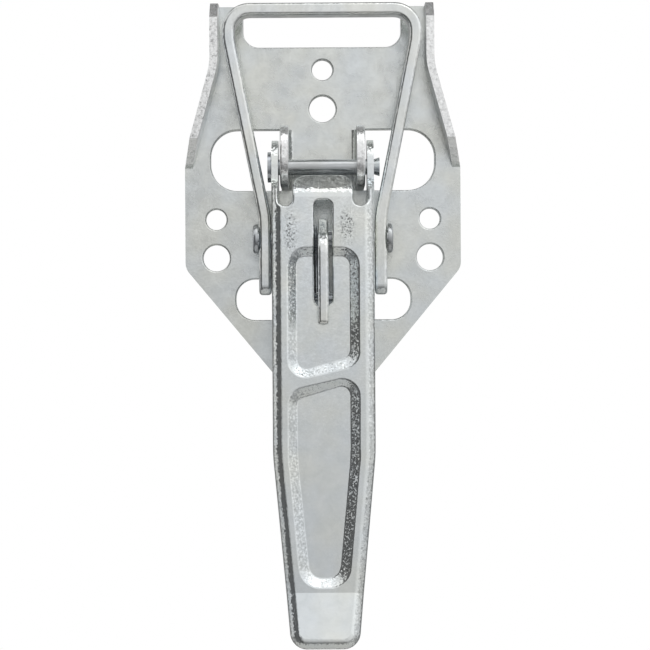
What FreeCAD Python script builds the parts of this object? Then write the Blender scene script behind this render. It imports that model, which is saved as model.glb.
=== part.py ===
import FreeCAD, Part
import math
import os
import re

import Sketcher

# Over-centre side latch for a trailer drop side, in bright zinc-plated steel.
# A folded base plate carries a pressed channel lever on a headed pin. A flat-bar bail hangs on a
# rivet through the lever's walls, and a hooked catch turns on the same rivet and reaches out
# through a slot in the lever's face.
#
# X is across the latch, Z is up along it and the front faces -Y. The back of the base plate lies
# on Y = 0, and the origin is midway between the two large side holes. In the size names,
# "forward" is a distance in front of the back face (along -Y), "height" is a distance above the
# origin and "drop" is a distance below it.

doc = FreeCAD.newDocument("drop_side_latch")
sizes = doc.addObject("Spreadsheet::Sheet", "Sizes")

SIZES = {
    # Base plate, one folded sheet.
    "plate_sheet": 2.5,
    "plate_half_width": 43.7,
    "plate_top_height": 79.7,
    "plate_shoulder_height": 28.5,
    "plate_side_drop": 3.3,
    "plate_foot_half_width": 14.5,
    "plate_foot_drop": 38.5,
    "plate_side_round": 5.0,
    "plate_foot_round": 6.0,
    "mouth_half_width": 25.0,
    "mouth_floor_height": 66.8,
    "mouth_round": 5.0,
    "flange_half_width": 35.0,
    "flange_bend_height": 60.0,
    "flange_bend_round": 20.0,
    "flange_forward": 14.0,
    "flange_taper_height": 37.0,
    "flange_nose_round": 5.0,
    "fold_round": 1.5,
    "ear_edge_round": 0.6,
    "rim_round": 0.5,
    # Fixing holes.
    "large_hole_radius": 4.2,
    "small_hole_radius": 3.25,
    "side_hole_offset": 33.9,
    "side_small_hole_height": 12.2,
    "middle_large_hole_height": 47.2,
    "middle_small_hole_height": 59.6,
    # Upper ears, folded out of the upper windows.
    "ear_inner_offset": 10.6,
    "ear_bottom_height": 21.3,
    "ear_top_height": 40.5,
    "ear_forward": 24.5,
    "window_half_width": 35.5,
    "ear_corner_round": 8.5,
    # Lower ears, folded out of the lower windows.
    "keeper_ear_inner_offset": 8.0,
    "keeper_ear_top_drop": 6.8,
    "keeper_ear_bottom_drop": 19.7,
    "keeper_ear_forward": 17.7,
    "keeper_window_half_width": 27.7,
    "keeper_ear_round": 6.0,
    "keeper_pin_forward": 10.0,
    "keeper_pin_radius": 2.0,
    # Lever pin, headed on one side and flared on the other.
    "lever_pin_forward": 14.0,
    "lever_pin_height": 27.7,
    "lever_pin_radius": 2.4,
    "pin_head_radius": 4.7,
    "pin_head_thickness": 1.0,
    "pin_tail_radius": 2.9,
    "pin_tail_length": 1.6,
    "pin_clearance": 0.06,
    "side_clearance": 0.35,
    # Lever, a pressed channel.
    "lever_sheet": 2.0,
    "lever_half_width": 15.7,
    "lever_forward": 27.0,
    "lever_back": 3.2,
    "lever_taper_drop": 61.0,
    "lever_taper_round": 60.0,
    "lever_tip_half_width": 10.3,
    "lever_tip_drop": 119.9,
    "lever_tip_round": 5.2,
    "lever_tip_bend_drop": 102.7,
    "lever_tip_rise": 3.4,
    "lever_back_taper_drop": 46.0,
    "lever_tip_back": 19.0,
    "lever_edge_round": 3.1,
    "wing_radius": 8.2,
    "wing_round": 7.8,
    "tongue_bend_height": 17.6,
    "tongue_bend_radius": 4.2,
    "tongue_bend_angle": 50.0,
    "tongue_lip": 6.4,
    "tongue_top_height": 24.6,
    "tongue_corner_round": 4.0,
    "tongue_half_width": 9.2,
    "notch_floor_height": 14.9,
    "notch_round": 2.1,
    "slot_half_width": 2.75,
    "slot_top_height": 16.6,
    "slot_bottom_drop": 15.3,
    "slot_round": 1.8,
    "rolled_edge": 0.6,
    # Stiffening pockets pressed into the lever's face.
    "pocket_depth": 1.8,
    "pocket_slope": 2.7,
    "pocket_back_margin": 0.6,
    "pocket_overlap": 0.6,
    "pocket_rim_round": 1.0,
    "pocket_floor_round": 0.8,
    "pocket_half_width": 10.9,
    "pocket_round": 5.5,
    "pocket_tail_half_width": 7.3,
    "pocket_tail_flat": 0.7,
    "upper_pocket_top_height": 2.3,
    "upper_pocket_left_drop": 38.6,
    "upper_pocket_right_drop": 33.8,
    "lower_pocket_left_drop": 41.2,
    "lower_pocket_right_drop": 36.4,
    "lower_pocket_taper_drop": 62.0,
    "lower_pocket_bottom_drop": 101.3,
    # Bail rivet, through the lever and both ends of the bail.
    "rivet_forward": 14.0,
    "rivet_height": 5.5,
    "rivet_radius": 2.5,
    "rivet_head_radius": 4.6,
    "rivet_head_thickness": 1.5,
    "rivet_head_round": 0.9,
    # Bail, bent from flat bar.
    "bail_bar": 3.8,
    "bail_depth": 7.0,
    "bail_forward": 17.5,
    "bail_half_width": 30.9,
    "bail_top_height": 78.4,
    "bail_knee_height": 12.0,
    "bail_knee_round": 24.0,
    "bail_shoulder_below_top": 11.2,
    "bail_shoulder_round": 16.0,
    "bail_corner_round": 8.5,
    "bail_end_drop": 12.0,
    "bail_end_round": 3.2,
    "bail_edge_round": 1.0,
    # Hooked catch.
    "catch_thickness": 3.2,
    "catch_eye_radius": 6.0,
    "catch_eye_round": 5.7,
    "catch_heel_round": 3.6,
    "catch_brow_back": 4.8,
    "catch_edge_round": 0.9,
    "catch_nose_forward": 31.0,
    "catch_nose_back": 27.7,
    "catch_nose_drop": 21.2,
    "catch_brow_height": 4.6,
    "catch_brow_round": 7.0,
    "catch_throat_drop": 3.5,
    "catch_throat_round": 2.4,
    "catch_nose_round": 1.4,
    "catch_tail_width": 4.8,
    "catch_tail_drop": 17.5,
    "catch_seat_clearance": 0.35,
    # Torsion spring beside the catch.
    "spring_wire_radius": 0.5,
    "spring_coil_radius": 3.7,
    "spring_turns": 2.75,
    "spring_pitch": 1.25,
    "spring_clearance": 0.1,
    "spring_leg_drop": 11.5,
}

for row, (alias, value) in enumerate(SIZES.items(), start=1):
    sizes.set(f"A{row}", alias)
    sizes.set(f"B{row}", str(value))
    sizes.setAlias(f"B{row}", alias)
doc.recompute()


def size(formula):
    """Value of a formula written with the aliases of the sheet."""
    return float(sizes.evalExpression(formula))


def bound(formula):
    """The same formula as an expression that other objects can be bound to."""
    def named(word):
        return f"Sizes.{word[0]}" if word[0] in SIZES else word[0]

    return re.sub(r"[a-z_]+", named, formula)


def new_body(name):
    body = doc.addObject("PartDesign::Body", name)
    body.Label = name
    return body


def origin_plane(body, role):
    for feature in body.Origin.OriginFeatures:
        if feature.Role == role:
            return feature
    raise ValueError(f"{body.Name} has no {role}")


def new_sketch(body, name, role, lift=None):
    """Sketch on one of the body's origin planes, lifted along the plane's normal."""
    sketch = body.newObject("Sketcher::SketchObject", name)
    sketch.AttachmentSupport = [(origin_plane(body, role), "")]
    sketch.MapMode = "FlatFace"
    if lift is not None:
        sketch.setExpression("AttachmentOffset.Base.z", bound(lift))
    return sketch


def corner_trim(before, corner, after, radius):
    """Tangent points and centre of an arc that rounds a corner of an outline."""
    back = (before - corner).normalize()
    ahead = (after - corner).normalize()
    half_turn = back.getAngle(ahead) / 2
    reach = radius / math.tan(half_turn)
    middle = (back + ahead).normalize()
    centre = corner + middle * (radius / math.sin(half_turn))
    return corner + back * reach, corner + ahead * reach, centre


def draw_outline(sketch, corners):
    """Closed outline through corners (x, y, round), each a formula, with tangent arcs."""
    points = [FreeCAD.Vector(size(x), size(y), 0) for x, y, _ in corners]
    count = len(corners)
    starts, ends, centres = [], [], []
    for i, (_, _, rounding) in enumerate(corners):
        before, corner, after = points[i - 1], points[i], points[(i + 1) % count]
        if rounding is None:
            starts.append(corner)
            ends.append(corner)
            centres.append(None)
        else:
            begin, end, centre = corner_trim(before, corner, after, size(rounding))
            starts.append(begin)
            ends.append(end)
            centres.append(centre)
    lines = []
    for i in range(count):
        segment = Part.LineSegment(ends[i], starts[(i + 1) % count])
        lines.append(sketch.addGeometry(segment, False))
    for i, (x, y, rounding) in enumerate(corners):
        before_line, after_line = lines[i - 1], lines[i]
        if rounding is None:
            sketch.addConstraint(
                Sketcher.Constraint("Coincident", before_line, 2, after_line, 1)
            )
            anchor = (after_line, 1)
        else:
            mark = sketch.addGeometry(Part.Point(points[i]), True)
            sketch.addConstraint(Sketcher.Constraint("PointOnObject", mark, 1, before_line))
            sketch.addConstraint(Sketcher.Constraint("PointOnObject", mark, 1, after_line))
            anchor = (mark, 1)
            first = starts[i] - centres[i]
            last = ends[i] - centres[i]
            first_angle = math.atan2(first.y, first.x)
            last_angle = math.atan2(last.y, last.x)
            turn = first.x * last.y - first.y * last.x
            circle = Part.Circle(centres[i], FreeCAD.Vector(0, 0, 1), size(rounding))
            if turn > 0:
                arc = sketch.addGeometry(Part.ArcOfCircle(circle, first_angle, last_angle), False)
                arc_in, arc_out = 1, 2
            else:
                arc = sketch.addGeometry(Part.ArcOfCircle(circle, last_angle, first_angle), False)
                arc_in, arc_out = 2, 1
            sketch.addConstraint(Sketcher.Constraint("Tangent", before_line, 2, arc, arc_in))
            sketch.addConstraint(Sketcher.Constraint("Tangent", arc, arc_out, after_line, 1))
            radius_row = sketch.addConstraint(Sketcher.Constraint("Radius", arc, size(rounding)))
            sketch.setExpression(f"Constraints[{radius_row}]", bound(rounding))
        for kind, formula in (("DistanceX", x), ("DistanceY", y)):
            row = sketch.addConstraint(
                Sketcher.Constraint(kind, -1, 1, anchor[0], anchor[1], size(formula))
            )
            sketch.setExpression(f"Constraints[{row}]", bound(formula))


def draw_circle(sketch, x, y, radius):
    """Circle whose centre and radius are formulas."""
    centre = FreeCAD.Vector(size(x), size(y), 0)
    circle = sketch.addGeometry(
        Part.Circle(centre, FreeCAD.Vector(0, 0, 1), size(radius)), False
    )
    rows = (
        (Sketcher.Constraint("DistanceX", -1, 1, circle, 3, size(x)), x),
        (Sketcher.Constraint("DistanceY", -1, 1, circle, 3, size(y)), y),
        (Sketcher.Constraint("Radius", circle, size(radius)), radius),
    )
    for constraint, formula in rows:
        row = sketch.addConstraint(constraint)
        sketch.setExpression(f"Constraints[{row}]", bound(formula))


def pad(body, name, sketch, length, midplane=False):
    feature = body.newObject("PartDesign::Pad", name)
    feature.Profile = sketch
    feature.setExpression("Length", bound(length))
    feature.Midplane = midplane
    return feature


def pocket_through(body, name, sketch):
    """Cut that runs through the whole body on both sides of its sketch."""
    feature = body.newObject("PartDesign::Pocket", name)
    feature.Profile = sketch
    feature.Type = "ThroughAll"
    feature.Midplane = True
    return feature


def mirror_across(body, name, originals):
    """The same features on the other side of the latch's middle plane."""
    feature = body.newObject("PartDesign::Mirrored", name)
    feature.Originals = originals
    feature.MirrorPlane = (origin_plane(body, "YZ_Plane"), [""])
    body.Tip = feature
    return feature


def edges_where(feature, test):
    """Names of a feature's edges whose every end and middle pass the test."""
    names = []
    for number, edge in enumerate(feature.Shape.Edges, start=1):
        middle = edge.valueAt((edge.FirstParameter + edge.LastParameter) / 2)
        spots = [vertex.Point for vertex in edge.Vertexes] + [middle]
        if all(test(spot) for spot in spots):
            names.append(f"Edge{number}")
    return names


def fillet(body, name, base, radius, test):
    doc.recompute()
    feature = body.newObject("PartDesign::Fillet", name)
    feature.Base = (base, edges_where(base, test))
    feature.setExpression("Radius", bound(radius))
    return feature


def near(value, formula):
    return abs(value - size(formula)) < 0.01


def both_sides(half):
    """A symmetric outline's corners from its right half, listed from the bottom up."""
    left = [(f"0 - ( {x} )", y, rounding) for x, y, rounding in reversed(half)]
    return half + left


def make_base_plate():
    body = new_body("base_plate")
    sheet = new_sketch(body, "sheet_outline", "XZ_Plane")
    draw_outline(sheet, both_sides([
        ("plate_foot_half_width", "0 - plate_foot_drop", "plate_foot_round"),
        ("plate_half_width", "0 - plate_side_drop", "plate_side_round"),
        ("plate_half_width", "plate_shoulder_height", None),
        ("flange_half_width", "flange_bend_height", "flange_bend_round"),
        ("flange_half_width", "plate_top_height", None),
        ("mouth_half_width", "plate_top_height", None),
        ("mouth_half_width", "mouth_floor_height", "mouth_round"),
    ]))
    plate = pad(body, "sheet", sheet, "plate_sheet")

    strip = new_sketch(body, "flange_outline", "XZ_Plane")
    draw_outline(strip, [
        ("plate_half_width", "plate_shoulder_height", None),
        ("flange_half_width", "flange_bend_height", "flange_bend_round"),
        ("flange_half_width", "plate_top_height", None),
        ("flange_half_width - plate_sheet", "plate_top_height", None),
        ("flange_half_width - plate_sheet", "flange_bend_height", "flange_bend_round"),
        ("plate_half_width - plate_sheet", "plate_shoulder_height", None),
    ])
    flange = pad(body, "flange", strip, "flange_forward")
    flanges = mirror_across(body, "flanges", [flange])

    taper = new_sketch(body, "flange_taper_outline", "YZ_Plane")
    draw_outline(taper, [
        ("0 - plate_sheet", "plate_shoulder_height", None),
        ("0 - flange_forward", "flange_taper_height", None),
        ("0 - flange_forward * 2", "flange_taper_height", None),
        ("0 - flange_forward * 2", "plate_shoulder_height", None),
    ])
    pocket_through(body, "flange_taper", taper)

    nose = new_sketch(body, "flange_nose_outline", "YZ_Plane")
    draw_outline(nose, [
        ("0 - flange_forward + flange_nose_round", "plate_top_height", None),
        ("0 - flange_forward", "plate_top_height - flange_nose_round", None),
        ("0 - flange_forward * 2", "plate_top_height - flange_nose_round", None),
        ("0 - flange_forward * 2", "plate_top_height + flange_nose_round", None),
        ("0 - flange_forward + flange_nose_round", "plate_top_height + flange_nose_round", None),
    ])
    pocket_through(body, "flange_nose", nose)

    windows = (
        ("window", "ear_inner_offset + plate_sheet", "window_half_width", "ear_bottom_height",
         "ear_top_height", "ear_corner_round"),
        ("keeper_window", "keeper_ear_inner_offset + plate_sheet", "keeper_window_half_width",
         "0 - keeper_ear_bottom_drop", "0 - keeper_ear_top_drop", "keeper_ear_round"),
    )
    for name, inner, outer, low, high, rounding in windows:
        opening = new_sketch(body, f"{name}_outline", "XZ_Plane")
        draw_outline(opening, [
            (inner, low, None),
            (outer, low, rounding),
            (outer, high, rounding),
            (inner, high, None),
        ])
        cut = pocket_through(body, name, opening)
        mirror_across(body, f"{name}_pair", [cut])

    ears = (
        ("ear", "ear_inner_offset", "ear_forward", "ear_bottom_height", "ear_top_height",
         "ear_corner_round"),
        ("keeper_ear", "keeper_ear_inner_offset", "keeper_ear_forward",
         "0 - keeper_ear_bottom_drop", "0 - keeper_ear_top_drop", "keeper_ear_round"),
    )
    for name, inner, forward, low, high, rounding in ears:
        profile = new_sketch(body, f"{name}_outline", "YZ_Plane", inner)
        draw_outline(profile, [
            ("0", low, None),
            (f"0 - {forward}", low, rounding),
            (f"0 - {forward}", high, rounding),
            ("0", high, None),
        ])
        ear = pad(body, name, profile, "plate_sheet")
        mirror_across(body, f"{name}_pair", [ear])

    bores = new_sketch(body, "pin_bores_outline", "YZ_Plane")
    draw_circle(bores, "0 - lever_pin_forward", "lever_pin_height",
                "lever_pin_radius + pin_clearance")
    draw_circle(bores, "0 - keeper_pin_forward",
                "0 - ( keeper_ear_top_drop + keeper_ear_bottom_drop ) / 2",
                "keeper_pin_radius + pin_clearance")
    pocket_through(body, "pin_bores", bores)

    holes = new_sketch(body, "fixing_holes_outline", "XZ_Plane")
    for x in ("side_hole_offset", "0 - side_hole_offset"):
        draw_circle(holes, x, "0", "large_hole_radius")
        draw_circle(holes, x, "side_small_hole_height", "small_hole_radius")
    draw_circle(holes, "0", "middle_large_hole_height", "large_hole_radius")
    draw_circle(holes, "0", "middle_small_hole_height", "small_hole_radius")
    drilled = pocket_through(body, "fixing_holes", holes)

    # The inside of each ear's fold.
    def in_fold(spot):
        at_ear = near(abs(spot.x), "ear_inner_offset")
        at_keeper_ear = near(abs(spot.x), "keeper_ear_inner_offset")
        return near(spot.y, "0 - plate_sheet") and (at_ear or at_keeper_ear)

    folded = fillet(body, "ear_folds", drilled, "fold_round", in_fold)

    # The front rims of the fixing holes, of the windows and of the mouth's floor.
    side, side_up = size("side_hole_offset"), size("side_small_hole_height")
    holes = [(x, 0, "large_hole_radius") for x in (side, -side)]
    holes += [(x, side_up, "small_hole_radius") for x in (side, -side)]
    holes += [(0, size("middle_large_hole_height"), "large_hole_radius"),
              (0, size("middle_small_hole_height"), "small_hole_radius")]
    boxes = (
        ("0", "mouth_half_width", "mouth_floor_height", "plate_top_height - fold_round"),
        ("ear_inner_offset + plate_sheet", "window_half_width", "ear_bottom_height", "ear_top_height"),
        ("keeper_ear_inner_offset + plate_sheet", "keeper_window_half_width",
         "0 - keeper_ear_bottom_drop", "0 - keeper_ear_top_drop"),
    )

    def on_rim(spot):
        on_hole = any(near(math.hypot(spot.x - x, spot.z - z), radius) for x, z, radius in holes)
        in_box = any(size(inner) - 0.01 < abs(spot.x) < size(outer) + 0.01
                     and size(low) - 0.01 < spot.z < size(high) + 0.01
                     for inner, outer, low, high in boxes)
        return near(spot.y, "0 - plate_sheet") and (on_hole or in_box)

    rimmed = fillet(body, "rims", folded, "rim_round", on_rim)

    # The outer edges of each ear's round end.
    def on_ear_edge(spot):
        outer = ("ear_inner_offset + plate_sheet", "keeper_ear_inner_offset + plate_sheet")
        past_fold = -spot.y > size("plate_sheet + fold_round")
        clear_of_pins = (
            math.hypot(spot.y + size("lever_pin_forward"), spot.z - size("lever_pin_height"))
            > size("lever_pin_radius + 1")
            and math.hypot(spot.y + size("keeper_pin_forward"),
                           spot.z + size("( keeper_ear_top_drop + keeper_ear_bottom_drop ) / 2"))
            > size("keeper_pin_radius + 1"))
        return past_fold and clear_of_pins and any(near(abs(spot.x), side) for side in outer)

    fillet(body, "ear_edges", rimmed, "ear_edge_round", on_ear_edge)
    return body


def turned_pin(name, corners, forward, height):
    """Pin turned about the X axis from a half section, placed at its axis."""
    body = new_body(name)
    section = new_sketch(body, f"{name}_section", "XY_Plane")
    draw_outline(section, corners)
    turned = body.newObject("PartDesign::Revolution", f"{name}_turned")
    turned.Profile = section
    turned.ReferenceAxis = (section, ["H_Axis"])
    turned.Angle = 360
    body.setExpression("Placement.Base.y", bound(f"0 - {forward}"))
    body.setExpression("Placement.Base.z", bound(height))
    return body


def make_lever_pin():
    head = "( lever_half_width + side_clearance )"
    return turned_pin("lever_pin", [
        (f"0 - {head} - pin_head_thickness", "0", None),
        (f"0 - {head} - pin_head_thickness", "pin_head_radius", None),
        (f"0 - {head}", "pin_head_radius", None),
        (f"0 - {head}", "lever_pin_radius", None),
        (head, "lever_pin_radius", None),
        (f"{head} + pin_tail_length", "pin_tail_radius", None),
        (f"{head} + pin_tail_length", "0", None),
    ], "lever_pin_forward", "lever_pin_height")


def make_keeper_pin():
    end = "( keeper_ear_inner_offset + plate_sheet )"
    return turned_pin("keeper_pin", [
        (f"0 - {end}", "0", None),
        (f"0 - {end}", "keeper_pin_radius", None),
        (end, "keeper_pin_radius", None),
        (end, "0", None),
    ], "keeper_pin_forward", "0 - ( keeper_ear_top_drop + keeper_ear_bottom_drop ) / 2")


def make_bail_rivet():
    face = "( lever_half_width + side_clearance * 2 + bail_bar )"
    return turned_pin("bail_rivet", [
        (f"0 - {face} - rivet_head_thickness", "0", None),
        (f"0 - {face} - rivet_head_thickness", "rivet_head_radius", "rivet_head_round"),
        (f"0 - {face}", "rivet_head_radius", None),
        (f"0 - {face}", "rivet_radius", None),
        (face, "rivet_radius", None),
        (face, "rivet_head_radius", None),
        (f"{face} + rivet_head_thickness", "rivet_head_radius", "rivet_head_round"),
        (f"{face} + rivet_head_thickness", "0", None),
    ], "rivet_forward", "rivet_height")


def lever_front(inset):
    """Corners of the lever's tapering front view, drawn in by the sheet for its hollow."""
    return both_sides([
        (f"lever_tip_half_width - {inset}", f"0 - lever_tip_drop + {inset}",
         f"lever_tip_round - {inset}"),
        (f"lever_half_width - {inset}", "0 - lever_taper_drop", "lever_taper_round"),
        (f"lever_half_width - {inset}", "lever_tip_drop", None),
    ])


def trim_to_front(body, name, inset):
    """Cuts away everything outside the lever's front view."""
    sketch = new_sketch(body, f"{name}_outline", "XZ_Plane")
    draw_outline(sketch, lever_front(inset))
    draw_outline(sketch, [
        ("0 - lever_half_width * 3", "0 - lever_tip_drop * 2", None),
        ("lever_half_width * 3", "0 - lever_tip_drop * 2", None),
        ("lever_half_width * 3", "lever_tip_drop * 2", None),
        ("0 - lever_half_width * 3", "lever_tip_drop * 2", None),
    ])
    return pocket_through(body, name, sketch)


def on_long_front_edge(inset):
    """Test for the front edges along both sides of the lever."""
    def test(spot):
        ahead = spot.y < -size(f"lever_forward - {inset}") + 0.01
        return ahead and abs(spot.x) > size("lever_tip_half_width - lever_tip_round")
    return test


def curl_spot(radius, along):
    """Place on the tongue's curl: its forward and height formulas."""
    forward = (f"lever_forward - tongue_bend_radius + {radius} * cos(tongue_bend_angle)"
               f" - {along} * sin(tongue_bend_angle)")
    height = (f"tongue_bend_height + {radius} * sin(tongue_bend_angle)"
              f" + {along} * cos(tongue_bend_angle)")
    return f"0 - ( {forward} )", height


def make_lever_hollow():
    """The space inside the channel, which is cut out of the lever's blank."""
    body = new_body("lever_hollow")
    side = new_sketch(body, "hollow_side", "YZ_Plane")
    inner_curl = "( tongue_bend_radius - lever_sheet )"
    curl_corner = f"tongue_bend_height + {inner_curl} * tan(tongue_bend_angle / 2)"
    inner_end = curl_spot(inner_curl, "tongue_lip")
    far_end = curl_spot("lever_forward", "tongue_lip")
    draw_outline(side, [
        ("0 - lever_forward + lever_sheet", "0 - lever_tip_bend_drop", None),
        ("0 - lever_forward + lever_sheet", curl_corner, inner_curl),
        (inner_end[0], inner_end[1], None),
        (far_end[0], far_end[1], None),
        ("lever_back", far_end[1], None),
        ("lever_back", "0 - lever_tip_drop + lever_sheet", None),
        ("0 - lever_forward - lever_tip_rise + lever_sheet",
         "0 - lever_tip_drop + lever_sheet", None),
    ])
    pad(body, "hollow_blank", side, "lever_half_width * 2", midplane=True)
    trimmed = trim_to_front(body, "hollow_trim", "lever_sheet")
    fillet(body, "hollow_edges", trimmed, "lever_edge_round - lever_sheet",
           on_long_front_edge("lever_sheet"))
    return body


def pocket_outline(kind, inset, rounding):
    """Corners of one of the lever's two stiffening pockets, drawn in by an inset."""
    side = f"pocket_half_width - {inset}"
    tail = f"pocket_tail_half_width - {inset}"
    if kind == "upper":
        return [
            (f"0 - ( {side} )", f"0 - upper_pocket_left_drop + {inset}", rounding),
            (side, f"0 - upper_pocket_right_drop + {inset}", rounding),
            (side, f"upper_pocket_top_height - {inset}", rounding),
            (f"0 - ( {side} )", f"upper_pocket_top_height - {inset}", rounding),
        ]
    tail_round = f"{tail} - pocket_tail_flat"
    return [
        (f"0 - ( {tail} )", f"0 - lower_pocket_bottom_drop + {inset}", tail_round),
        (tail, f"0 - lower_pocket_bottom_drop + {inset}", tail_round),
        (side, "0 - lower_pocket_taper_drop", "lever_taper_round"),
        (side, f"0 - lower_pocket_right_drop - {inset}", rounding),
        (f"0 - ( {side} )", f"0 - lower_pocket_left_drop - {inset}", rounding),
        (f"0 - ( {side} )", "0 - lower_pocket_taper_drop", "lever_taper_round"),
    ]


def press_pocket(body, kind):
    """A pocket pressed back into the lever's face: a bulge behind, then the dish in front."""
    top = new_sketch(body, f"{kind}_bulge_rim", "XZ_Plane", "lever_forward - lever_sheet + pocket_overlap")
    draw_outline(top, pocket_outline(kind, "( 0 - pocket_back_margin )", "pocket_round"))
    floor = new_sketch(body, f"{kind}_bulge_floor", "XZ_Plane", "lever_forward - lever_sheet - pocket_depth")
    draw_outline(floor, pocket_outline(
        kind, "( pocket_slope - pocket_back_margin )", "pocket_round - pocket_slope"))
    bulge = body.newObject("PartDesign::AdditiveLoft", f"{kind}_bulge")
    bulge.Profile = top
    bulge.Sections = [floor]
    bulge.Ruled = True

    rim = new_sketch(body, f"{kind}_dish_rim", "XZ_Plane", "lever_forward")
    draw_outline(rim, pocket_outline(kind, "0", "pocket_round"))
    base = new_sketch(body, f"{kind}_dish_floor", "XZ_Plane", "lever_forward - pocket_depth")
    draw_outline(base, pocket_outline(kind, "pocket_slope", "pocket_round - pocket_slope"))
    dish = body.newObject("PartDesign::SubtractiveLoft", f"{kind}_dish")
    dish.Profile = rim
    dish.Sections = [base]
    dish.Ruled = True

    lowest, highest = {
        "upper": ("0 - upper_pocket_left_drop", "upper_pocket_top_height"),
        "lower": ("0 - lower_pocket_bottom_drop", "0 - lower_pocket_right_drop"),
    }[kind]

    def inside_pocket(spot):
        beside = abs(spot.x) < size("pocket_half_width") + 0.01
        return beside and size(lowest) - 0.01 < spot.z < size(highest) + 0.01

    def on_pocket_edge(forward):
        return lambda spot: near(-spot.y, forward) and inside_pocket(spot) and (
            kind == "lower" or spot.z > highest_of_lower(spot.x) + 0.01)

    def highest_of_lower(across):
        share = (across + size("pocket_half_width")) / size("pocket_half_width * 2")
        left, right = size("0 - lower_pocket_left_drop"), size("0 - lower_pocket_right_drop")
        return left + (right - left) * share

    softened = fillet(body, f"{kind}_floor_edges", dish, "pocket_floor_round",
                      on_pocket_edge("lever_forward - pocket_depth"))
    return fillet(body, f"{kind}_rim_edges", softened, "pocket_rim_round",
                  on_pocket_edge("lever_forward"))


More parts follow.
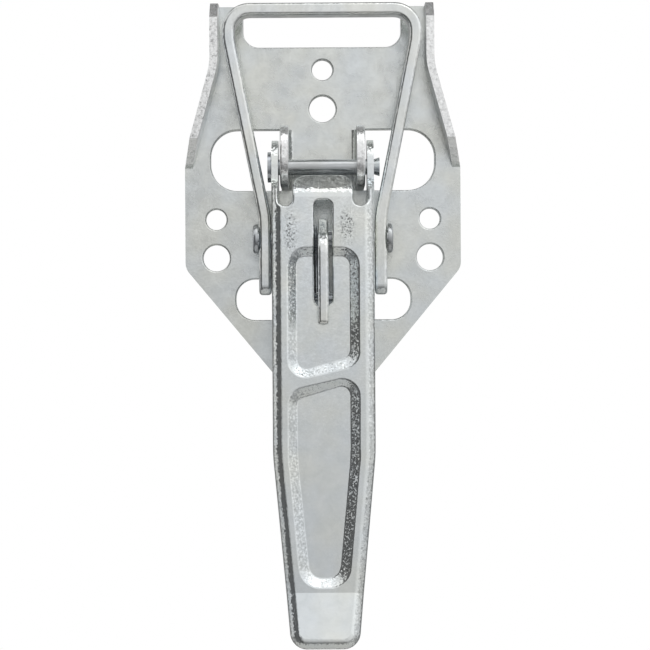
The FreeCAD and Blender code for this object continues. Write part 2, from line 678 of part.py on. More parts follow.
def make_lever():
    hollow = make_lever_hollow()
    body = new_body("lever")
    side = new_sketch(body, "side_outline", "YZ_Plane")
    draw_outline(side, [
        ("0 - lever_forward", "0 - lever_tip_bend_drop", None),
        ("0 - lever_forward", "lever_pin_height + wing_radius", None),
        ("0 - lever_pin_forward + wing_radius", "lever_pin_height + wing_radius", None),
        ("0 - lever_pin_forward + wing_radius", "lever_pin_height", None),
        ("0 - lever_back", "notch_floor_height", None),
        ("0 - lever_back", "0 - lever_back_taper_drop", "lever_taper_round"),
        ("0 - lever_tip_back", "0 - lever_tip_drop", None),
        ("0 - lever_forward - lever_tip_rise", "0 - lever_tip_drop", None),
    ])
    pad(body, "blank", side, "lever_half_width * 2", midplane=True)
    trimmed = trim_to_front(body, "front_trim", "0")
    fillet(body, "front_edges", trimmed, "lever_edge_round", on_long_front_edge("0"))

    # The crown: the tongue's curl, then round wings about the lever pin.
    crown = new_sketch(body, "crown_outline", "YZ_Plane")
    curl_corner = "tongue_bend_height + tongue_bend_radius * tan(tongue_bend_angle / 2)"
    wing_front = "( lever_pin_forward + wing_radius )"
    wing_top = "lever_pin_height + wing_radius"
    draw_outline(crown, [
        ("0 - lever_forward", "notch_floor_height", None),
        ("0 - lever_forward", curl_corner, "tongue_bend_radius"),
        (f"0 - {wing_front}",
         f"{curl_corner} + ( lever_forward - {wing_front} ) / tan(tongue_bend_angle)", None),
        (f"0 - {wing_front}", wing_top, "wing_round"),
        ("0 - lever_pin_forward + wing_radius", wing_top, "wing_round"),
        ("0 - lever_pin_forward + wing_radius", "lever_pin_height", None),
        ("lever_back", "lever_pin_height", None),
        ("lever_back", "lever_pin_height * 2", None),
        ("0 - lever_forward * 2", "lever_pin_height * 2", None),
        ("0 - lever_forward * 2", "notch_floor_height", None),
    ])
    pocket_through(body, "crown", crown)

    # The tongue's curl runs on behind the front of the wings.
    curl = new_sketch(body, "curl_outline", "YZ_Plane")
    past_lip = curl_spot("tongue_bend_radius", "( tongue_lip * 2 )")
    draw_outline(curl, [
        (f"0 - {wing_front} - lever_sheet / 2",
         f"{curl_corner} + ( lever_forward - {wing_front} - lever_sheet / 2 ) / tan(tongue_bend_angle)", None),
        (past_lip[0], past_lip[1], None),
        (past_lip[0], "lever_pin_height * 2", None),
        (f"0 - {wing_front} - lever_sheet / 2", "lever_pin_height * 2", None),
    ])
    curled = body.newObject("PartDesign::Pocket", "curl")
    curled.Profile = curl
    curled.Midplane = True
    curled.setExpression("Length", bound("( lever_half_width - lever_sheet ) * 2"))

    inside = body.newObject("PartDesign::Boolean", "hollowed")
    inside.setObjects([hollow])
    inside.Type = "Cut"
    body.Tip = inside
    doc.recompute()

    press_pocket(body, "upper")
    press_pocket(body, "lower")

    openings = new_sketch(body, "openings_outline", "XZ_Plane")
    draw_outline(openings, [
        ("0 - slot_half_width", "0 - slot_bottom_drop", "slot_round"),
        ("slot_half_width", "0 - slot_bottom_drop", "slot_round"),
        ("slot_half_width", "slot_top_height", "slot_round"),
        ("0 - slot_half_width", "slot_top_height", "slot_round"),
    ])
    wall = "( lever_half_width - lever_sheet )"
    draw_outline(openings, [
        ("tongue_half_width", "notch_floor_height", "notch_round"),
        (wall, "notch_floor_height", "notch_round"),
        (wall, "lever_pin_height * 2", None),
        (f"0 - {wall}", "lever_pin_height * 2", None),
        (f"0 - {wall}", "notch_floor_height", "notch_round"),
        ("0 - tongue_half_width", "notch_floor_height", "notch_round"),
        ("0 - tongue_half_width", "tongue_top_height", "tongue_corner_round"),
        ("tongue_half_width", "tongue_top_height", "tongue_corner_round"),
    ])
    opened = pocket_through(body, "openings", openings)

    # The front edges of the notches and of the slot above the upper pocket's rim.
    def on_rolled_edge(spot):
        between_walls = abs(spot.x) < size("lever_half_width - lever_sheet") - 0.01
        above_pocket = spot.z > size("upper_pocket_top_height") - 0.01
        return near(-spot.y, "lever_forward") and between_walls and above_pocket

    def on_opening(spot):
        in_slot = abs(spot.x) < size("slot_half_width") + 0.01 and spot.z < size("slot_top_height") + 0.01
        in_notch = spot.z > size("notch_floor_height") - 0.01 and (
            abs(spot.x) > size("tongue_half_width") - 0.01)
        return on_rolled_edge(spot) and (in_slot or in_notch)

    fillet(body, "rolled_edges", opened, "rolled_edge", on_opening)

    bores = new_sketch(body, "bores_outline", "YZ_Plane")
    draw_circle(bores, "0 - lever_pin_forward", "lever_pin_height",
                "lever_pin_radius + pin_clearance")
    draw_circle(bores, "0 - rivet_forward", "rivet_height", "rivet_radius + pin_clearance")
    pocket_through(body, "bores", bores)
    return body


def make_bail():
    body = new_body("bail")
    outline = new_sketch(body, "bail_outline", "XZ_Plane", "bail_forward - bail_depth")
    leg_out = "( lever_half_width + side_clearance + bail_bar )"
    outer = [
        (leg_out, "0 - bail_end_drop", None),
        (leg_out, "bail_knee_height", "bail_knee_round"),
        ("bail_half_width", "bail_top_height - bail_shoulder_below_top", "bail_shoulder_round"),
        ("bail_half_width", "bail_top_height", "bail_corner_round"),
    ]
    inner = [
        (f"{leg_out} - bail_bar", "0 - bail_end_drop", None),
        (f"{leg_out} - bail_bar", "bail_knee_height", "bail_knee_round + bail_bar"),
        ("bail_half_width - bail_bar", "bail_top_height - bail_shoulder_below_top",
         "bail_shoulder_round - bail_bar"),
        ("bail_half_width - bail_bar", "bail_top_height - bail_bar",
         "bail_corner_round - bail_bar"),
    ]
    left_inner = [(f"0 - ( {x} )", y, rounding) for x, y, rounding in inner]
    draw_outline(outline, both_sides(outer) + left_inner + inner[::-1])
    bar = pad(body, "bail_bar", outline, "bail_depth")

    def at_end(spot):
        at_face = near(-spot.y, "bail_forward") or near(-spot.y, "bail_forward - bail_depth")
        return at_face and near(spot.z, "0 - bail_end_drop")

    ends = fillet(body, "bail_ends", bar, "bail_end_round", at_end)

    def along_bar(spot):
        at_face = near(-spot.y, "bail_forward") or near(-spot.y, "bail_forward - bail_depth")
        return at_face and spot.z > size("bail_knee_height")

    fillet(body, "bail_edges", ends, "bail_edge_round", along_bar)

    bores = new_sketch(body, "bail_bores_outline", "YZ_Plane")
    draw_circle(bores, "0 - rivet_forward", "rivet_height", "rivet_radius + pin_clearance")
    pocket_through(body, "bail_bores", bores)
    return body


def make_catch():
    body = new_body("catch_hook")
    profile = new_sketch(body, "catch_outline", "YZ_Plane")
    seat = "( keeper_pin_forward + keeper_pin_radius + catch_seat_clearance )"
    eye = "catch_eye_radius"
    draw_outline(profile, [
        (f"0 - rivet_forward + {eye}", f"rivet_height + {eye}", "catch_eye_round"),
        (f"0 - rivet_forward + {eye}", f"rivet_height - {eye}", "catch_heel_round"),
        (f"0 - {seat}", f"rivet_height - {eye}", None),
        (f"0 - {seat}", "0 - catch_tail_drop", "catch_nose_round"),
        (f"0 - {seat} - catch_tail_width", "0 - catch_tail_drop", "catch_nose_round"),
        (f"0 - {seat} - catch_tail_width", "0 - catch_throat_drop", "catch_throat_round"),
        ("0 - catch_nose_back", "0 - catch_throat_drop", "catch_throat_round"),
        ("0 - catch_nose_back", "0 - catch_nose_drop", "catch_nose_round"),
        ("0 - catch_nose_forward", "0 - catch_nose_drop", "catch_nose_round"),
        ("0 - catch_nose_forward", "catch_brow_height", "catch_brow_round"),
        ("0 - rivet_forward - catch_brow_back", f"rivet_height + {eye}", "catch_brow_round"),
    ])
    plate = pad(body, "catch_plate", profile, "catch_thickness", midplane=True)

    def on_face_edge(spot):
        return near(abs(spot.x), "catch_thickness / 2")

    fillet(body, "catch_edges", plate, "catch_edge_round", on_face_edge)
    bores = new_sketch(body, "catch_bore_outline", "YZ_Plane")
    draw_circle(bores, "0 - rivet_forward", "rivet_height", "rivet_radius + pin_clearance")
    pocket_through(body, "catch_bore", bores)
    return body


def make_catch_spring():
    """Torsion spring: one leg bears on the catch's tail, the other on the lever's face."""
    wire = size("spring_wire_radius")
    coil = size("spring_coil_radius")
    pitch = size("spring_pitch")
    turns = size("spring_turns")
    length = pitch * turns
    helix = Part.makeHelix(pitch, length, coil)
    path = Part.Wire(helix.Edges)
    section = Part.Wire(Part.makeCircle(
        wire, FreeCAD.Vector(coil, 0, 0), FreeCAD.Vector(0, 1, pitch / (2 * math.pi * coil))))
    turns_solid = path.makePipeShell([section], True, True)
    down = size("rivet_height + spring_leg_drop")
    reach = size("lever_forward - lever_sheet - pocket_depth - rivet_forward - spring_clearance")
    across = size("catch_thickness / 2 + catch_thickness / 2 + spring_wire_radius * 2")
    catch_leg = Part.makeCylinder(
        wire, down, FreeCAD.Vector(coil, 0, 0), FreeCAD.Vector(0, -1, 0))
    joints = [
        Part.makeSphere(wire, FreeCAD.Vector(coil, -down, 0)),
        Part.makeSphere(wire, FreeCAD.Vector(coil, 0, 0)),
        Part.makeSphere(wire, FreeCAD.Vector(0, -coil, length)),
    ]
    foot = Part.makeCylinder(
        wire, across, FreeCAD.Vector(coil, -down, 0), FreeCAD.Vector(0, 0, -1))
    face_leg = Part.makeCylinder(
        wire, reach, FreeCAD.Vector(0, -coil, length), FreeCAD.Vector(1, 0, 0))
    spring = doc.addObject("Part::Feature", "catch_spring")
    spring.Label = "catch_spring"
    spring.Shape = turns_solid.fuse([catch_leg, foot, face_leg] + joints).removeSplitter()
    start = size("catch_thickness / 2 + spring_wire_radius + spring_clearance")
    # The coil's own axes: first along forward, second up, third towards -X.
    turned = FreeCAD.Rotation(
        FreeCAD.Vector(0, -1, 0), FreeCAD.Vector(0, 0, 1), FreeCAD.Vector(-1, 0, 0), "ZXY")
    spring.Placement = FreeCAD.Placement(
        FreeCAD.Vector(-start, -size("rivet_forward"), size("rivet_height")), turned)
    return spring


base_plate = make_base_plate()
lever_pin = make_lever_pin()
keeper_pin = make_keeper_pin()
bail_rivet = make_bail_rivet()
lever = make_lever()
bail = make_bail()
catch_hook = make_catch()
catch_spring = make_catch_spring()

KEPT = [base_plate, lever_pin, keeper_pin, lever, bail_rivet, bail, catch_hook, catch_spring]
doc.recompute()

for thing in doc.Objects:
    if "Invalid" in thing.State or "Error" in thing.State:
        raise RuntimeError(f"{thing.Name} failed: {thing.State}")

os.makedirs("parts", exist_ok=True)
for piece in KEPT:
    shape = piece.Shape
    if shape.isNull() or not shape.isValid():
        raise RuntimeError(f"{piece.Label} has no valid shape")
    shape.exportStep(f"parts/{piece.Label}.step")
    print(piece.Label, "volume", round(shape.Volume, 1), "solids", len(shape.Solids))
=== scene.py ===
"""Looks of a bright zinc-plated side latch: a held base plate, a pressed lever, a bail and a hooked catch."""

import math

import bpy
from mathutils import Matrix, Vector


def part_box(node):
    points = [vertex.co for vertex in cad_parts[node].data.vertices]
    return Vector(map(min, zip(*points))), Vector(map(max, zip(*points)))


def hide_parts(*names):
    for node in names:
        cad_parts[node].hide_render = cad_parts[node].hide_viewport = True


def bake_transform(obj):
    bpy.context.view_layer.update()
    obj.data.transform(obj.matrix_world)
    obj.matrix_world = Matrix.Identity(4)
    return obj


bl_info = {
    "name": "Trailer drop side latch",
    "version": (1, 0, 0),
    "blender": (4, 5, 0),
    "location": "View3D > Sidebar > Latch",
    "description": "Gives the pieces of an over-centre side latch their zinc finishes and sets up the stage",
    "category": "Object",
}

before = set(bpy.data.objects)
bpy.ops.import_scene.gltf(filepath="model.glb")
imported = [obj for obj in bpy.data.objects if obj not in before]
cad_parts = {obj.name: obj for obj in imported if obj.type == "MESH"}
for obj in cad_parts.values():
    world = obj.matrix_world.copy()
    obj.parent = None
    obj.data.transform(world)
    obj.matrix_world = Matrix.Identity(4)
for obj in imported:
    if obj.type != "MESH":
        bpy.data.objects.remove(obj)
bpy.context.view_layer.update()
MM = 0.001

# Thickness of the base plate's sheet.
PLATE_SHEET = 2.5 * MM
# The plate's blanked edges start this far ahead of its face, and are complete after as much again.
BLANKED_FADE = 1 * MM
BLANKED_TONE = "#F6F7F7"

# Places beside the lever's slot that pressing left uneven: X and Z of the middle, half width and half height.
BESIDE_SLOT = (
    (-9.8 * MM, 7.5 * MM, 3.4 * MM, 11 * MM),
    (7.2 * MM, 8.5 * MM, 4.4 * MM, 9 * MM),
)

# Widths of the plating's patterns: clouds of uneven plating, tints of its film, and scratches.
CLOUD = 5 * MM
FILM = 14 * MM
SCRATCH = 0.45 * MM
# The thin chromate film goes from blue to straw: where each tint starts, and the tint.
FILM_TINTS = ((0.35, "#FAFCFF"), (0.65, "#FFFEFA"))
# Two directions of scratches: the turn about Y, and the stretch that draws specks out to lines.
SCRATCH_LINES = ((0.5, (1, 1, 0.05)), (-1.1, (0.06, 1, 1)))

# What torn edges and scratches add to the roughness.
TORN_ROUGHNESS = 0.14
SCRATCH_ROUGHNESS = 0.08
# How high clouds and scratches stand, in heights of a speck.
CLOUD_HEIGHT = 0.4
SCRATCH_HEIGHT = -0.25

# Orange peel: its share on flat faces and in the middle of an uneven place, and which way such a place leans.
FLAT_PEEL = 0.12
PULLED_PEEL = 0.8
PULLED_LEAN = (-0.08, 0, 0)
# Tilt of the surface at full peel, and how many bumps of the peel go to one speck.
PEEL_TILT = 1.15
PEEL_FINENESS = 0.9

# Sockets of a Mix node that mixes colours: its two inputs and its output.
MIX_A, MIX_B, MIX_OUT = 6, 7, 2

# The room by direction. A part of it lies inside all of its soft edges, and each edge is an axis, with where
# the edge starts and where it is complete.
LEFT_WALL = (("X", -0.15, -0.32), ("Z", 0.62, 0.3), ("Y", -0.22, -0.36))
WALL_MIDDLE = (("X", -0.36, -0.48), ("X", -0.9, -0.82))
CEILING = (("Z", 0.6, 0.8), ("Y", -0.2, -0.05))
CEILING_LAMPS = (
    (("Y", 0.08, 0.11), ("Y", 0.19, 0.16)),
    (("Y", 0.34, 0.37), ("Y", 0.46, 0.43)),
)
SIDES = (("Y", 0.3, 0.6), ("Y", 0.99, 0.94))
UPPER_HALF = (("Z", -0.06, 0.17),)
TOP = (("Z", 0.7, 0.9),)
RIGHT = (("X", 0.1, 0.35), ("X", 0.9, 0.6))
LOWER_HALF = (("Z", -0.15, -0.6),)
# What some parts add to the brightness of the room, and how much of the ceiling's dark a lamp takes away.
ADDED_LIGHT = ((UPPER_HALF, 0.26), (TOP, 0.25), (RIGHT, 0.16), (LOWER_HALF, -0.4))
LAMP_SHARE = 0.7

# Softboxes, which point at the middle of the latch: name, place, width and power in watts.
SOFTBOXES = (
    ("top softbox", (0.45, -0.7, 1.1), 0.9, 1.3),
    ("right softbox", (1.1, -0.5, 0.9), 0.8, 0.5),
)

FLOOR_RADIUS = 0.4
FLOOR_DROP = 0.5
FLOOR_CORNERS = 96

# The lens stands this far to the right of the latch's middle. The sensor's width is in Blender's millimetres.
CAMERA_SIDE = 0.44 * MM
SENSOR_WIDTH = 36.0


def srgb(code):
    """A hex colour as linear red, green, blue and full opacity."""
    parts = [int(code[i : i + 2], 16) / 255 for i in (1, 3, 5)]
    return tuple(p / 12.92 if p <= 0.04045 else ((p + 0.055) / 1.055) ** 2.4 for p in parts) + (1.0,)


def put(tree, kind, inputs=None, **settings):
    """Adds a node with its settings, its fixed inputs and its incoming links."""
    node = tree.nodes.new(kind)
    for name, value in settings.items():
        setattr(node, name, value)
    for socket, value in (inputs or {}).items():
        if isinstance(value, bpy.types.NodeSocket):
            tree.links.new(value, node.inputs[socket])
        else:
            node.inputs[socket].default_value = value
    return node


def colour_setting(name, code, description):
    return bpy.props.FloatVectorProperty(
        name=name, description=description, subtype="COLOR", size=4, min=0, max=1, default=srgb(code)
    )


def length_setting(name, metres, description):
    return bpy.props.FloatProperty(
        name=name, description=description, default=metres, min=0, precision=6,
        subtype="DISTANCE", unit="LENGTH"
    )


def share_setting(name, share, description):
    return bpy.props.FloatProperty(
        name=name, description=description, default=share, min=0, max=1, subtype="FACTOR"
    )


class SheetFinish(bpy.types.PropertyGroup):
    """Bright zinc on the folded base plate."""

    light: colour_setting("Light zinc", "#E9ECEB", "Lightest tone of the plating")
    shade: colour_setting("Dull zinc", "#DDE0DF", "Tone of the duller clouds in the plating")
    grain: length_setting("Grain", 0.8 * MM, "Width of one speck of the plated surface")
    relief: length_setting("Relief", 0.03 * MM, "Height of the specks")
    peel: share_setting("Orange peel", 0.5, "Tilt of the surface's finest specks")
    polished: share_setting("Polished", 0.2, "Roughness of the brightest places")
    dulled: share_setting("Dulled", 0.3, "Roughness of the dullest places")


class PressedFinish(bpy.types.PropertyGroup):
    """Bright zinc on the deep-drawn lever."""

    light: colour_setting("Light zinc", "#F0F3F3", "Lightest tone of the plating")
    shade: colour_setting("Dull zinc", "#E4E8E8", "Tone of the duller clouds in the plating")
    grain: length_setting("Grain", 0.62 * MM, "Width of one dimple of the drawn surface")
    relief: length_setting("Relief", 0.03 * MM, "Height of the dimples")
    peel: share_setting("Orange peel", 0.9, "Tilt of the surface's finest specks")
    polished: share_setting("Polished", 0.12, "Roughness of the brightest places")
    dulled: share_setting("Dulled", 0.2, "Roughness of the dullest places")


class BarFinish(bpy.types.PropertyGroup):
    """Bright zinc on the bail's cold-drawn flat bar and on the catch."""

    light: colour_setting("Light zinc", "#F0F2F2", "Lightest tone of the plating")
    shade: colour_setting("Dull zinc", "#E0E3E2", "Tone of the duller clouds in the plating")
    grain: length_setting("Grain", 0.7 * MM, "Width of one speck of the plated surface")
    relief: length_setting("Relief", 0.03 * MM, "Height of the specks")
    peel: share_setting("Orange peel", 0.6, "Tilt of the surface's finest specks")
    polished: share_setting("Polished", 0.16, "Roughness of the brightest places")
    dulled: share_setting("Dulled", 0.26, "Roughness of the dullest places")


class TurnedFinish(bpy.types.PropertyGroup):
    """Bright zinc on the pins, the rivet and the spring."""

    light: colour_setting("Light zinc", "#D6D9DC", "Lightest tone of the plating")
    shade: colour_setting("Dull zinc", "#A8ACB0", "Tone of the duller streaks in the plating")
    grain: length_setting("Streak", 0.35 * MM, "Spacing of the tool's streaks")
    relief: length_setting("Relief", 0.012 * MM, "Height of the streaks")
    peel: share_setting("Orange peel", 0.2, "Tilt of the surface's finest specks")
    polished: share_setting("Polished", 0.16, "Roughness of the brightest places")
    dulled: share_setting("Dulled", 0.3, "Roughness of the dullest places")


class StageSettings(bpy.types.PropertyGroup):
    """Floor, room and camera."""

    floor: colour_setting("Floor", "#E6E6E4", "Colour of the floor")
    room: share_setting("Room", 0.6, "Brightness of the room in front of the object")
    wall: share_setting("Left wall", 0.05, "Brightness of the unlit wall to the left")
    wall_middle: share_setting("Wall's middle", 0.07, "How much brighter the middle of the left wall is")
    ceiling: share_setting("Ceiling", 0.05, "Brightness of the ceiling between its lamps")
    side: share_setting("Sides", 0.22, "Brightness of the room beside and behind the object")
    distance: length_setting("Camera distance", 0.56, "Distance from the lens to the front of the base plate")
    drop: length_setting("Camera drop", 0.0214, "Height of the lens below the base plate's middle")
    width: length_setting("View width", 0.20635, "Width of the view at the front of the base plate")
    roll: bpy.props.FloatProperty(
        name="Roll", description="Turn of the camera about its own line of sight",
        default=math.radians(0.35), subtype="ANGLE", unit="ROTATION"
    )


def give(material, *names):
    """Puts a material on every slot of the named solids."""
    for name in names:
        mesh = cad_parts[name].data
        mesh.materials.clear()
        mesh.materials.append(material)
        mesh.polygons.foreach_set("material_index", [0] * len(mesh.polygons))


def plate_front():
    """The depth of the base plate's face."""
    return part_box("base_plate")[1].y - PLATE_SHEET


def plated_colour(tree, place, clouds, look):
    """The grey of the plating, duller in its clouds, under the faint tints of its film."""
    cloud_share = put(tree, "ShaderNodeMapRange", {
        "Value": clouds, "From Min": 0.25, "From Max": 0.75}).outputs["Result"]
    grey = put(tree, "ShaderNodeMix", {
        "Factor": cloud_share, MIX_A: look.light, MIX_B: look.shade}, data_type="RGBA").outputs[MIX_OUT]
    film = put(tree, "ShaderNodeTexNoise", {
        "Vector": place, "Scale": 1 / FILM, "Detail": 2.0, "Roughness": 0.5}).outputs["Fac"]
    tint = put(tree, "ShaderNodeValToRGB", {"Fac": film})
    for stop, (position, code) in zip(tint.color_ramp.elements, FILM_TINTS):
        stop.position = position
        stop.color = srgb(code)
    return put(tree, "ShaderNodeMix", {"Factor": 1.0, MIX_A: grey, MIX_B: tint.outputs["Color"]},
               data_type="RGBA", blend_type="MULTIPLY").outputs[MIX_OUT]


def scratches(tree, place):
    """Hair lines from handling, a few millimetres long, in two directions."""
    lines = []
    for turn, drawn_out in SCRATCH_LINES:
        turned = put(tree, "ShaderNodeMapping", {
            "Vector": place, "Rotation": (0.0, turn, 0.0), "Scale": drawn_out}).outputs["Vector"]
        line = put(tree, "ShaderNodeTexNoise", {
            "Vector": turned, "Scale": 1 / SCRATCH, "Detail": 1.0}).outputs["Fac"]
        lines.append(put(tree, "ShaderNodeMapRange", {
            "Value": line, "From Min": 0.8, "From Max": 0.88}).outputs["Result"])
    return put(tree, "ShaderNodeMath", {0: lines[0], 1: lines[1]}, operation="MAXIMUM").outputs[0]


def uneven_share(tree, place, spot):
    """How uneven pressing left an oval spot of the sheet, from nothing at its rim to most near its middle."""
    x, z, half_width, half_height = spot
    away = put(tree, "ShaderNodeVectorMath", {0: place, 1: (x, 0, z)}, operation="SUBTRACT").outputs[0]
    away = put(tree, "ShaderNodeVectorMath", {
        0: away, 1: (1 / half_width, 0, 1 / half_height)}, operation="MULTIPLY").outputs[0]
    away = put(tree, "ShaderNodeVectorMath", {0: away}, operation="LENGTH").outputs["Value"]
    return put(tree, "ShaderNodeMapRange", {
        "Value": away, "From Min": 1.0, "From Max": 0.2, "To Max": PULLED_PEEL},
        interpolation_type="SMOOTHSTEP").outputs["Result"]


def peeled_normal(tree, along, look, height, peel, lean):
    """The way that the surface faces: bumped by its height, tilted at random by the peel, and leaning."""
    bump = put(tree, "ShaderNodeBump", {
        "Strength": 1.0, "Distance": look.relief, "Height": height}).outputs["Normal"]
    tilt = put(tree, "ShaderNodeTexNoise", {
        "Vector": along, "Scale": PEEL_FINENESS / look.grain, "Detail": 2.0,
        "Roughness": 0.75}).outputs["Color"]
    tilt = put(tree, "ShaderNodeVectorMath", {0: tilt, 1: (0.5, 0.5, 0.5)}, operation="SUBTRACT").outputs[0]
    strength = put(tree, "ShaderNodeMath", {
        0: peel, 1: look.peel * PEEL_TILT}, operation="MULTIPLY").outputs[0]
    tilt = put(tree, "ShaderNodeVectorMath", {0: tilt, "Scale": strength}, operation="SCALE").outputs[0]
    tilt = put(tree, "ShaderNodeVectorMath", {0: tilt, 1: lean}, operation="ADD").outputs[0]
    tilted = put(tree, "ShaderNodeVectorMath", {0: bump, 1: tilt}, operation="ADD").outputs[0]
    return put(tree, "ShaderNodeVectorMath", {0: tilted}, operation="NORMALIZE").outputs[0]


def zinc(name, look, stretch=(1, 1, 1), cut_edges=False, blanked_ahead=None, pulled_spots=()):
    """Electroplated zinc: a grey metal mirror broken up by specks, clouds and faint blue and straw tints.

    Ahead of the depth blanked_ahead every face is a blanked edge. Each of the pulled_spots is a place, with its
    half width and half height, where pressing stretched the sheet and left it uneven.
    """
    material = bpy.data.materials.new(name)
    material.use_nodes = True
    tree = material.node_tree
    tree.nodes.clear()
    place = put(tree, "ShaderNodeTexCoord").outputs["Object"]
    along = put(tree, "ShaderNodeMapping", {"Vector": place, "Scale": stretch}).outputs["Vector"]
    normal = put(tree, "ShaderNodeNewGeometry").outputs["Normal"]
    forward = put(tree, "ShaderNodeSeparateXYZ", {"Vector": normal}).outputs["Y"]
    flatness = put(tree, "ShaderNodeMath", {0: forward}, operation="ABSOLUTE").outputs[0]
    # Specks: crystals and pickled grain, one or two to a pixel.
    specks = put(tree, "ShaderNodeTexNoise", {
        "Vector": along, "Scale": 1 / look.grain, "Detail": 3.0, "Roughness": 0.62}).outputs["Fac"]
    clouds = put(tree, "ShaderNodeTexNoise", {
        "Vector": along, "Scale": 1 / CLOUD, "Detail": 4.0, "Roughness": 0.6,
        "Distortion": 0.4}).outputs["Fac"]
    scratch = scratches(tree, place)
    colour = plated_colour(tree, place, clouds, look)
    rough = put(tree, "ShaderNodeMapRange", {
        "Value": clouds, "From Min": 0.3, "From Max": 0.7,
        "To Min": look.polished, "To Max": look.dulled}).outputs["Result"]
    if cut_edges:
        # Blanked edges face sideways: the torn band there is duller than the rolled faces.
        torn = put(tree, "ShaderNodeMapRange", {
            "Value": flatness, "From Min": 0.15, "From Max": 0.35,
            "To Min": 1.0, "To Max": 0.0}).outputs["Result"]
        rough = put(tree, "ShaderNodeMath", {
            0: torn, 1: TORN_ROUGHNESS, 2: rough}, operation="MULTIPLY_ADD").outputs[0]
    rough = put(tree, "ShaderNodeMath", {
        0: scratch, 1: SCRATCH_ROUGHNESS, 2: rough}, operation="MULTIPLY_ADD").outputs[0]
    height = specks
    for pattern, raised in ((clouds, CLOUD_HEIGHT), (scratch, SCRATCH_HEIGHT)):
        height = put(tree, "ShaderNodeMath", {
            0: pattern, 1: raised, 2: height}, operation="MULTIPLY_ADD").outputs[0]
    # Orange peel: metal stretched round a bend or over a die is rougher than the flat sheet. Its share reads which
    # way a face points in the room, so it is right at rest only: a turned lever's flat faces get the peel too.
    peel = put(tree, "ShaderNodeMapRange", {
        "Value": flatness, "From Min": 0.975, "From Max": 0.92, "To Min": FLAT_PEEL, "To Max": 1.0},
        interpolation_type="SMOOTHSTEP").outputs["Result"]
    lean = (0, 0, 0)
    if blanked_ahead is not None:
        depth = put(tree, "ShaderNodeSeparateXYZ", {"Vector": place}).outputs["Y"]
        blanked = put(tree, "ShaderNodeMapRange", {
            "Value": depth, "From Min": blanked_ahead,
            "From Max": blanked_ahead - BLANKED_FADE}).outputs["Result"]
        peel = put(tree, "ShaderNodeMath", {0: peel, 1: blanked}, operation="MAXIMUM").outputs[0]
        colour = put(tree, "ShaderNodeMix", {
            "Factor": blanked, MIX_A: colour, MIX_B: srgb(BLANKED_TONE)},
            data_type="RGBA").outputs[MIX_OUT]
    for spot in pulled_spots:
        uneven = uneven_share(tree, place, spot)
        peel = put(tree, "ShaderNodeMath", {0: peel, 1: uneven}, operation="MAXIMUM").outputs[0]
        leaning = put(tree, "ShaderNodeVectorMath", {
            0: PULLED_LEAN, "Scale": uneven}, operation="SCALE").outputs[0]
        lean = put(tree, "ShaderNodeVectorMath", {0: leaning, 1: lean}, operation="ADD").outputs[0]
    shader = put(tree, "ShaderNodeBsdfPrincipled", {
        "Base Color": colour, "Metallic": 1.0, "Roughness": rough,
        "Normal": peeled_normal(tree, along, look, height, peel, lean)})
    put(tree, "ShaderNodeOutputMaterial", {"Surface": shader.outputs["BSDF"]})
    return material


class LATCH_OT_plate(bpy.types.Operator):
    """Finish the folded base plate"""

    bl_idname = "latch.plate"
    bl_label = "Base plate"

    def execute(self, context):
        look = context.scene.latch_sheet
        steel = zinc("bright zinc-plated folded steel sheet", look, cut_edges=True,
                     blanked_ahead=plate_front() - BLANKED_FADE)
        give(steel, "base_plate")
        return {"FINISHED"}


class LATCH_OT_lever(bpy.types.Operator):
    """Finish the pressed lever"""

    bl_idname = "latch.lever"
    bl_label = "Lever"

    def execute(self, context):
        look = context.scene.latch_pressed
        give(zinc("bright zinc-plated pressed steel", look, pulled_spots=BESIDE_SLOT), "lever")
        return {"FINISHED"}


class LATCH_OT_bail(bpy.types.Operator):
    """Finish the bent bail"""

    bl_idname = "latch.bail"
    bl_label = "Bail"

    def execute(self, context):
        look = context.scene.latch_bar
        give(zinc("bright zinc-plated drawn steel bar", look, stretch=(1, 1, 0.5), cut_edges=True), "bail")
        return {"FINISHED"}


class LATCH_OT_pins(bpy.types.Operator):
    """Finish the turned pins and the rivet"""

    bl_idname = "latch.pins"
    bl_label = "Pins and rivet"

    def execute(self, context):
        look = context.scene.latch_turned
        steel = zinc("bright zinc-plated turned steel", look, stretch=(0.12, 1, 1))
        give(steel, "lever_pin", "keeper_pin", "bail_rivet")
        return {"FINISHED"}


class LATCH_OT_catch(bpy.types.Operator):
    """Finish the hooked catch and its spring"""

    bl_idname = "latch.catch"
    bl_label = "Catch and spring"

    def execute(self, context):
        scene = context.scene
        give(zinc("bright zinc-plated blanked steel", scene.latch_bar), "catch_hook")
        give(zinc("bright zinc-plated spring wire", scene.latch_turned, stretch=(0.3, 1, 1)), "catch_spring")
        # In the latch the spring's lower leg is bent by the catch's tail, while its coil and upper leg stay with
        # the lever; here the spring is one still copy of the imported spring, which is hidden.
        spring = bpy.data.objects.new("torsion_spring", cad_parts["catch_spring"].data.copy())
        scene.collection.objects.link(spring)
        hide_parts("catch_spring")
        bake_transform(spring)
        return {"FINISHED"}


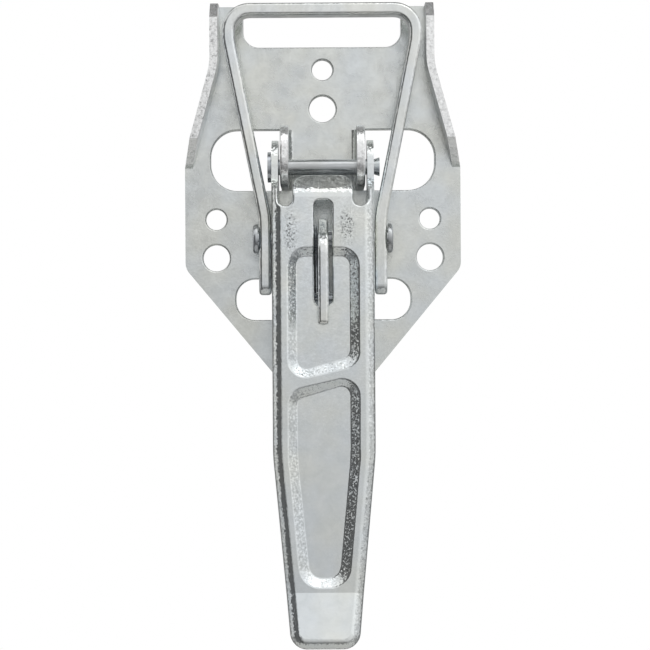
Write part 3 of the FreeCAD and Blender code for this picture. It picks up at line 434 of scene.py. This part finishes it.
def room_light(look):
    """A white room with one unlit wall to the left, which polished metal shows as its dark bands."""
    world = bpy.data.worlds.new("white room")
    bpy.context.scene.world = world
    world.use_nodes = True
    tree = world.node_tree
    tree.nodes.clear()
    way = put(tree, "ShaderNodeSeparateXYZ", {"Vector": put(tree, "ShaderNodeTexCoord").outputs["Generated"]})

    def share_of(part):
        """How far a direction lies inside a part of the room: the product of the part's soft edges."""
        share = 1.0
        for axis, start, end in part:
            edge = put(tree, "ShaderNodeMapRange", {
                "Value": way.outputs[axis], "From Min": start, "From Max": end},
                interpolation_type="SMOOTHSTEP").outputs["Result"]
            share = put(tree, "ShaderNodeMath", {0: share, 1: edge}, operation="MULTIPLY").outputs[0]
        return share

    level = look.room
    for part, added in ADDED_LIGHT:
        level = put(tree, "ShaderNodeMath", {
            0: share_of(part), 1: added, 2: level}, operation="MULTIPLY_ADD").outputs[0]
    # The wall is paler in its middle, between the two corners that the lever's dark bands show.
    wall = put(tree, "ShaderNodeMath", {
        0: share_of(WALL_MIDDLE), 1: look.wall_middle, 2: look.wall}, operation="MULTIPLY_ADD").outputs[0]
    overhead = share_of(CEILING)
    for part in CEILING_LAMPS:
        unlit = put(tree, "ShaderNodeMath", {
            0: share_of(part), 1: -LAMP_SHARE, 2: 1.0}, operation="MULTIPLY_ADD").outputs[0]
        overhead = put(tree, "ShaderNodeMath", {0: overhead, 1: unlit}, operation="MULTIPLY").outputs[0]
    for share, dark in ((share_of(LEFT_WALL), wall), (overhead, look.ceiling), (share_of(SIDES), look.side)):
        level = put(tree, "ShaderNodeMix", {"Factor": share, "A": level, "B": dark}).outputs["Result"]
    seen = put(tree, "ShaderNodeLightPath")
    direct = put(tree, "ShaderNodeMath", {
        0: seen.outputs["Is Camera Ray"], 1: seen.outputs["Is Transmission Ray"]},
        operation="MAXIMUM").outputs[0]
    level = put(tree, "ShaderNodeMix", {"Factor": direct, "A": level, "B": 1.0}).outputs["Result"]
    light = put(tree, "ShaderNodeBackground", {"Color": (1, 1, 1, 1), "Strength": level})
    put(tree, "ShaderNodeOutputWorld", {"Surface": light.outputs["Background"]})


def pale_floor(look):
    """A round floor below the latch, small enough to stay under the main view."""
    turns = [math.tau * i / FLOOR_CORNERS for i in range(FLOOR_CORNERS)]
    rim = [(FLOOR_RADIUS * math.cos(t), FLOOR_RADIUS * math.sin(t), -FLOOR_DROP) for t in turns]
    mesh = bpy.data.meshes.new("floor")
    mesh.from_pydata(rim, [], [list(range(FLOOR_CORNERS))])
    floor = bpy.data.objects.new("floor", mesh)
    bpy.context.scene.collection.objects.link(floor)
    material = bpy.data.materials.new("matt white painted floor")
    material.use_nodes = True
    shader = material.node_tree.nodes["Principled BSDF"]
    shader.inputs["Base Color"].default_value = look.floor
    shader.inputs["Roughness"].default_value = 0.8
    mesh.materials.append(material)


def softbox(name, spot, width, power):
    """A square lamp that points at the middle of the latch."""
    lamp = bpy.data.lights.new(name, "AREA")
    lamp.size, lamp.energy = width, power
    holder = bpy.data.objects.new(name, lamp)
    bpy.context.scene.collection.objects.link(holder)
    holder.location = spot
    holder.rotation_euler = (-Vector(spot)).to_track_quat("-Z", "Y").to_euler()


def main_camera(look):
    """A camera straight in front of the latch, with its lens a little below the base plate's middle."""
    lens = bpy.data.cameras.new("camera")
    lens.sensor_width = SENSOR_WIDTH
    lens.lens = SENSOR_WIDTH * look.distance / look.width
    camera = bpy.data.objects.new("camera", lens)
    bpy.context.scene.collection.objects.link(camera)
    spot = Vector((CAMERA_SIDE, plate_front() - look.distance, -look.drop))
    camera.matrix_world = (
        Matrix.Translation(spot) @ Matrix.Rotation(look.roll, 4, "Y") @ Matrix.Rotation(math.pi / 2, 4, "X")
    )
    bpy.context.scene.camera = camera


class LATCH_OT_stage(bpy.types.Operator):
    """Set up the room, the floor, the softboxes and the camera"""

    bl_idname = "latch.stage"
    bl_label = "Stage"

    def execute(self, context):
        look = context.scene.latch_stage
        room_light(look)
        pale_floor(look)
        for lamp in SOFTBOXES:
            softbox(*lamp)
        main_camera(look)
        context.scene.view_settings.view_transform = "Standard"
        return {"FINISHED"}


class LATCH_PT_panel(bpy.types.Panel):
    """Lists the latch's pieces and its stage"""

    bl_idname = "LATCH_PT_panel"
    bl_label = "Side latch"
    bl_space_type = "VIEW_3D"
    bl_region_type = "UI"
    bl_category = "Latch"

    def draw(self, context):
        for step in STEPS:
            self.layout.operator(step.bl_idname)


SETTINGS = {
    "latch_sheet": SheetFinish,
    "latch_pressed": PressedFinish,
    "latch_bar": BarFinish,
    "latch_turned": TurnedFinish,
    "latch_stage": StageSettings,
}
STEPS = (LATCH_OT_plate, LATCH_OT_lever, LATCH_OT_bail, LATCH_OT_pins, LATCH_OT_catch, LATCH_OT_stage)


def register():
    for group in SETTINGS.values():
        bpy.utils.register_class(group)
    for shown in (*STEPS, LATCH_PT_panel):
        bpy.utils.register_class(shown)
    for name, group in SETTINGS.items():
        setattr(bpy.types.Scene, name, bpy.props.PointerProperty(type=group))


def unregister():
    for name in SETTINGS:
        delattr(bpy.types.Scene, name)
    for shown in (LATCH_PT_panel, *reversed(STEPS)):
        bpy.utils.unregister_class(shown)
    for group in reversed(list(SETTINGS.values())):
        bpy.utils.unregister_class(group)


def main():
    register()
    for step in STEPS:
        getattr(bpy.ops.latch, step.bl_idname.split(".")[1])()


if __name__ == "__main__":
    main()
